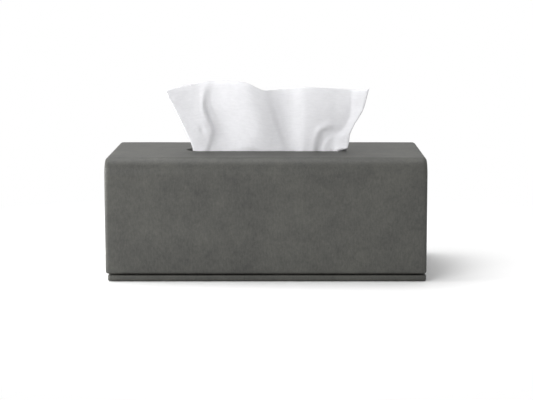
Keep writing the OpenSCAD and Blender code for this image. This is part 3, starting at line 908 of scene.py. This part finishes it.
def short_fold_depth(x, z, path, width_out, width_in):
    """How far forward one short fold brings each point."""
    step = np.linspace(0, len(path) - 1, 8 * len(path))
    path = np.stack([through(range(len(path)), column, step) for column in np.array(path).T], -1)
    nearest = np.full(x.shape, np.inf)
    forward = np.zeros(x.shape)
    for (x0, z0, f0), (x1, z1, f1) in zip(path, path[1:]):
        run, rise = x1 - x0, z1 - z0
        share = np.clip(((x - x0) * run + (z - z0) * rise) / (run**2 + rise**2), 0, 1)
        off_x, off_z = x - x0 - share * run, z - z0 - share * rise
        far = np.hypot(off_x, off_z)
        width = np.where(run * off_z - rise * off_x < 0, width_out, width_in)
        here = (f0 + (f1 - f0) * share) * np.exp(-((far / width) ** 2))
        forward = np.where(far < nearest, here, forward)
        nearest = np.minimum(nearest, far)
    return forward


print("short folds:", len(short_folds))

# %% [markdown]
# A tissue is wider than the slot, so its sides are folded back behind it, and from the slot down
# it is gathered into small pleats. Its upper corners also lean forward a little, as thin
# paper does when it has been pulled out by the middle.

# %% Lay out the sheet
columns, rows = 260, 150
back_left, back_right = 0.11, 0.1       # shares of the width that are folded back at the sides
sheet_width = 150                       # all lengths here are in millimetres
back_drop = 0.2                         # how far a folded-back side sinks for each millimetre

place, up = np.meshgrid(
    np.linspace(-back_left, 1 + back_right, columns + 1), np.linspace(0, 1, rows + 1),
    indexing="ij")
across_sheet = 1 - np.abs(1 - np.abs(place))            # the sides run back over the sheet
folded_back = np.maximum(0, np.maximum(-place, place - 1)) * sheet_width
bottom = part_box("tissue_stack")[1].z / mm
top = through(*np.array(crest).T, across_sheet) - back_drop * folded_back
z = bottom + up * (top - bottom)
left, right = (through(*np.array(side).T, z) for side in (left_edge, right_edge))
x = left + (right - left) * across_sheet
print("sheet:", x.size, "points, from x =", x.min().round(1), "to", x.max().round(1))

# %% Shape it
slot_y = -6.0                                   # where the sheet's middle stands, at the slot
pleat_count, pleat_depth = 11, 3.4
pleat_shift, shift_rate = 0.25, 9               # unequal pleats: no hand makes equal ones
gather_from, gather_over = 101, 9               # height where the pleats start, and grow over
box_top, sheet_height = 100, 55
corner_lean, belly, top_lean = 5, 4.2, 1.5      # how far the sheet leans forward and back
back_gap, back_bend = 0.7, 0.6                  # how far behind the sides lie, and how soon
back_spread = 0.06                              # and how they fan out, for each millimetre
crumples = [(0.3, 13, 2.1), (0.1, 5, 7.7)]      # height, length and seed of small unevenness

forward = long_fold_depth(x, z)
forward = forward + sum(short_fold_depth(x, z, *fold) for fold in short_folds.values())
crumple = sum(size * slow_noise(x.ravel(), z.ravel(), length, seed)
    for size, length, seed in crumples)
gathered = np.clip((gather_from - z) / gather_over, 0, 1)
turns = pleat_count * place + pleat_shift * np.sin(shift_rate * place)
pleats = pleat_depth * gathered**2 * (3 - 2 * gathered) * np.sin(2 * math.pi * turns)
y = slot_y - forward - crumple.reshape(x.shape) + pleats
above = np.clip((z - box_top) / sheet_height, 0, 1)
y += corner_lean * above * (np.cos(math.pi * (across_sheet - 0.5)) - 1)
y += belly * np.sin(math.pi * above) - top_lean * above
y += back_gap * (1 - np.exp(-folded_back / back_bend)) + back_spread * folded_back * above
print("tissue's depth in mm:", y.min().round(1), "to", y.max().round(1))

# %% Fit it through the slot
clearance = 0.8                         # from the slot's rim
lip_from, lip_over = 101.1, 1.2         # above this height the sheet may lie over the lip
free_from, free_over = 86, 6            # and below this one it is free again

past_straight = np.maximum(0, np.abs(x) - slot_straight / mm)
room = np.sqrt(np.maximum((slot_radius / mm) ** 2 - past_straight**2, 1)) - clearance
inside = np.clip((lip_from - z) / lip_over, 0, 1) * np.clip((z - free_from) / free_over, 0, 1)
y += inside * np.maximum(0, -room - y)

# Paper has no sharp steps: each point is moved to the mean of its neighbours a few times
for axis in (0, 1) * 3:
    padded = np.pad(y, [(1, 1) if k == axis else (0, 0) for k in (0, 1)], mode="edge")
    before, after = (np.take(padded, range(k, y.shape[axis] + k), axis) for k in (0, 2))
    y = (before + y + after) / 3

# A point further back looks smaller and higher, so it is moved along the camera's line of sight
eye = np.array(camera.location) / mm
closer = (y - eye[1]) / (slot_y - eye[1])
seen = above**0.5
x = x + seen * (eye[0] + (x - eye[0]) * closer - x)
z = z + seen * (eye[2] + (z - eye[2]) * closer - z)
sheet_points = np.stack([x, y, z], -1).reshape(-1, 3) * mm
print("moved by at most", round(float(np.abs(closer - 1).max() * 100), 2), "%")

# %% Make the tissue
flat_sheet = (0.21, 0.1)         # width and height of the upper half of a 210 x 200 mm tissue
share_across = (place - place.min()) / (place.max() - place.min())
sheet_uv = np.stack([share_across * flat_sheet[0], up * flat_sheet[1]], -1).reshape(-1, 2)
sheet_faces = grid_faces(np.arange(x.size).reshape(x.shape))
drawn_tissue = new_piece("drawn_tissue", sheet_points, sheet_faces, tissue_paper, sheet_uv)
modify(drawn_tissue, "two_plies", "SOLIDIFY", thickness=0.2 * mm, offset=0)
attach(drawn_tissue, "sleeve")
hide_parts("tissue")
print("tissue from", sheet_points.min(0).round(4), "to", sheet_points.max(0).round(4))

# %% [markdown]
# ## The stack of tissues
#
# A flat pack holds about a hundred tissues, folded in half and laid into each other, so the
# folds lie to the front and to the back by turns. This repeats by a rule, which is what
# Geometry Nodes are for: one folded tissue is modelled, and the nodes pile it up, turn every
# other one round, push each a little askew and round the pile's long edges. Sixty thicker
# layers stand for the hundred real ones, because thinner ones wouldn't show.

# %% One folded tissue
stack_low, stack_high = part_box("tissue_stack")
layers = 60
pitch = (stack_high.z - stack_low.z) / layers
leaf = 0.42 * pitch                        # thickness of one leaf of the folded tissue
half_thick = 0.48 * pitch                  # of the folded tissue
askew = 0.5 * mm
pile_round = 5 * mm                        # how round the pile's long edges are
fold_half = (stack_high - stack_low) / 2 - Vector((askew, askew, 0))


def folded_section():
    """The folded tissue's end as a closed line: two leaves joined by a round fold."""
    fold = [(math.sin(a), math.cos(a)) for a in (math.pi * k / 6 for k in range(7))]
    outer = [(fold_half.y - half_thick + half_thick * s, -half_thick * c) for s, c in fold]
    inner = [(y, z * (half_thick - leaf) / half_thick) for y, z in outer[::-1]]
    open_end, inside = -fold_half.y, half_thick - leaf
    return [
        (open_end, -half_thick), *outer, (open_end, half_thick),
        (open_end, inside), *inner, (open_end, -inside)]


section = folded_section()
slices = ruled((-fold_half.x, 18 * mm), (fold_half.x, 0))
leaf_points = [(x, y, z) for x in slices for y, z in section]
leaf_ids = np.arange(len(leaf_points)).reshape(len(slices), len(section))
leaf_faces = grid_faces(np.column_stack([leaf_ids, leaf_ids[:, 0]]))
half_section = len(section) // 2
for end_ids, flip in ((leaf_ids[0], False), (leaf_ids[-1], True)):
    outside, inside = end_ids[: half_section], end_ids[half_section:][::-1]
    leaf_faces += grid_faces(np.stack([outside, inside]), flip)
tissue_stack = new_piece(
    "folded_tissues", leaf_points, leaf_faces, tissue_paper, [p[:2] for p in leaf_points])
print("one folded tissue:", len(leaf_points), "points; layers:", layers)

# %% [markdown]
# The nodes take the folded tissue as their geometry and have named inputs for the sizes. Each
# layer is narrowed near the top and bottom of the pile, which rounds its long edges.

# %% What the pile is given
pile = bpy.data.node_groups.new("pile_of_tissues", "GeometryNodeTree")
for label, kind in (
        ("Geometry", "Geometry"), ("Layers", "Int"), ("Pitch", "Float"), ("Lowest", "Float"),
        ("Askew", "Float"), ("Edge Radius", "Float"), ("Half Depth", "Float"), ("Seed", "Int"),
        ("Paper", "Material")):
    pile.interface.new_socket(label, in_out="INPUT", socket_type="NodeSocket" + kind)
pile.interface.new_socket("Geometry", in_out="OUTPUT", socket_type="NodeSocketGeometry")
given = add(pile, "NodeGroupInput").outputs
print("inputs:", [socket.name for socket in given if socket.name])

# %% The rule for each layer
rise = add(pile, "ShaderNodeCombineXYZ", {"Z": given["Pitch"]})
base = add(pile, "ShaderNodeCombineXYZ", {"Z": given["Lowest"]})
line = add(pile, "GeometryNodeMeshLine", {
    "Count": given["Layers"], "Start Location": base, "Offset": rise})
index = add(pile, "GeometryNodeInputIndex")

# Sums, each of them (result, operation, what it works on). A word is an input of the tree or
# an earlier result. They turn every other layer round, and say how narrow each one is
value = {"index": index, **{socket.name: socket for socket in given}}
for result, operation, *terms in (
        ("odd", "MODULO", "index", 2.0), ("turned", "MULTIPLY", "odd", math.pi),
        ("from top", "SUBTRACT", "Layers", "index"), ("from end", "MINIMUM", "index", "from top"),
        ("height", "MULTIPLY", "from end", "Pitch"),
        ("missing", "SUBTRACT", "Edge Radius", "height"), ("short", "MAXIMUM", "missing", 0.0),
        ("radius squared", "POWER", "Edge Radius", 2.0), ("short squared", "POWER", "short", 2.0),
        ("reach squared", "SUBTRACT", "radius squared", "short squared"),
        ("reach", "SQRT", "reach squared"), ("inset", "SUBTRACT", "Edge Radius", "reach"),
        ("share", "DIVIDE", "inset", "Half Depth"), ("narrow", "SUBTRACT", 1.0, "share")):
    inputs = {k: value.get(term, term) for k, term in enumerate(terms)}
    value[result] = add(pile, "ShaderNodeMath", inputs, operation=operation)
print("so far:", len(pile.nodes), "nodes")

# %% Pile them up by the rule
# Each layer lies askew by a random share of the most allowed, from -1 to 1 in X and in Y
askew_by = add(pile, "FunctionNodeRandomValue", {
    0: (-1.0, -1.0, 0.0), 1: (1.0, 1.0, 0.0), "ID": index, "Seed": given["Seed"]},
    data_type="FLOAT_VECTOR")
shift = add(pile, "ShaderNodeVectorMath", {0: askew_by, "Scale": given["Askew"]},
    operation="SCALE")
moved = add(pile, "GeometryNodeSetPosition", {"Geometry": line, "Offset": shift})
rotation = add(pile, "ShaderNodeCombineXYZ", {"Z": value["turned"]})
scale = add(pile, "ShaderNodeCombineXYZ", {"X": 1.0, "Y": value["narrow"], "Z": 1.0})
copies = add(pile, "GeometryNodeInstanceOnPoints", {
    "Points": moved, "Instance": given["Geometry"], "Rotation": rotation, "Scale": scale})
whole = add(pile, "GeometryNodeRealizeInstances", {"Geometry": copies})
papered = add(pile, "GeometryNodeSetMaterial", {"Geometry": whole, "Material": given["Paper"]})
add(pile, "NodeGroupOutput", {"Geometry": papered})
print("pile of tissues:", len(pile.nodes), "nodes")

# %% Keep the pile as a mesh
def mesh_by_rule(piece, tree, **values):
    """Runs a node tree on a piece and keeps the result as its plain mesh."""
    rule = piece.modifiers.new(tree.name, "NODES")
    rule.node_group = tree
    for item in tree.interface.items_tree:
        key = item.name.lower().replace(" ", "_")
        if item.in_out == "INPUT" and key in values:
            rule[item.identifier] = values[key]
    evaluated = piece.evaluated_get(bpy.context.evaluated_depsgraph_get())
    mesh = bpy.data.meshes.new_from_object(evaluated)
    piece.modifiers.remove(rule)
    piece.data = mesh
    mesh.name = piece.name


mesh_by_rule(
    tissue_stack, pile, layers=layers, pitch=pitch, lowest=stack_low.z + pitch / 2, askew=askew,
    edge_radius=pile_round, half_depth=fold_half.y, seed=4, paper=tissue_paper)
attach(tissue_stack, "drawer")
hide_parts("tissue_stack")
print("stack:", len(tissue_stack.data.polygons), "faces")

# %% [markdown]
# ## Floor, background and light
#
# The picture is a product shot on white. The floor is pale and lit until it is all but white,
# so it keeps a faint shadow, and further out it turns to plain white for the camera, like
# the world behind it, which reflections see as white too. The light is soft: a wide lamp above
# and behind gives the bend its line of light, one in front and to the left lights the front and
# the folds, and a small one low at the left brightens what faces it.

# %% Floor
floor_half = 6.0
plain_from, plain_to = 0.15, 0.45       # how far out the floor starts to turn white, and is white
floor_paint, tree, shader, place = new_material("white_studio_floor", {
    "Roughness": 0.9, "Specular IOR Level": 0.1, "Base Color": colour("#f8f8f8")})
reached = add(tree, "ShaderNodeVectorMath", {0: place}, operation="LENGTH")
fade = add(tree, "ShaderNodeMapRange", {
    "Value": reached.outputs["Value"], "From Min": plain_from, "From Max": plain_to})
by_camera = add(tree, "ShaderNodeLightPath").outputs["Is Camera Ray"]
factor = add(tree, "ShaderNodeMath", {0: fade, 1: by_camera}, operation="MULTIPLY")
white = add(tree, "ShaderNodeEmission", {"Color": (1, 1, 1, 1), "Strength": 1.0})
finished = add(tree, "ShaderNodeMixShader", {0: factor, 1: shader, 2: white})
feed(tree, tree.nodes["Material Output"], {"Surface": finished})
corners = [(floor_half * a, floor_half * b, 0) for a, b in ((-1, -1), (1, -1), (1, 1), (-1, 1))]
floor = new_piece("floor", corners, [(0, 1, 2, 3)], floor_paint)
print("floor:", floor_half * 2, "m wide")

# %% World
world = bpy.data.worlds.new("white_room")
world.use_nodes = True
scene.world = world
tree = world.node_tree
ambient = 0.56
path = add(tree, "ShaderNodeLightPath").outputs
direct = add(tree, "ShaderNodeMath", {0: path["Is Camera Ray"], 1: path["Is Glossy Ray"]},
    operation="MAXIMUM")
any_look = add(tree, "ShaderNodeMath", {0: direct, 1: path["Is Transmission Ray"]},
    operation="MAXIMUM")
strength = add(tree, "ShaderNodeMapRange", {"Value": any_look, "To Min": ambient, "To Max": 1.0})
feed(tree, tree.nodes["Background"], {"Color": (1, 1, 1, 1), "Strength": strength})
print("ambient light:", ambient)

# %% Lamps
def soft_lamp(name, at, aim, size, watts):
    """A square lamp at a place, turned towards a point."""
    lamp = bpy.data.lights.new(name, "AREA")
    lamp.size = size
    lamp.energy = watts
    holder = in_scene(name, lamp)
    holder.location = at
    holder.rotation_euler = (Vector(aim) - Vector(at)).to_track_quat("-Z", "Y").to_euler()


soft_lamp("lamp_behind", (-0.35, 0.44, 1.32), (0, 0, 0.06), 1.2, 14.5)
soft_lamp("lamp_front", (-0.8, -1.35, 0.75), (0, 0, 0.08), 1.0, 13.5)
soft_lamp("lamp_left", (-1, -0.12, 0.2), (-0.13, -0.07, 0.08), 0.5, 14)
scene.view_settings.view_transform = "Standard"
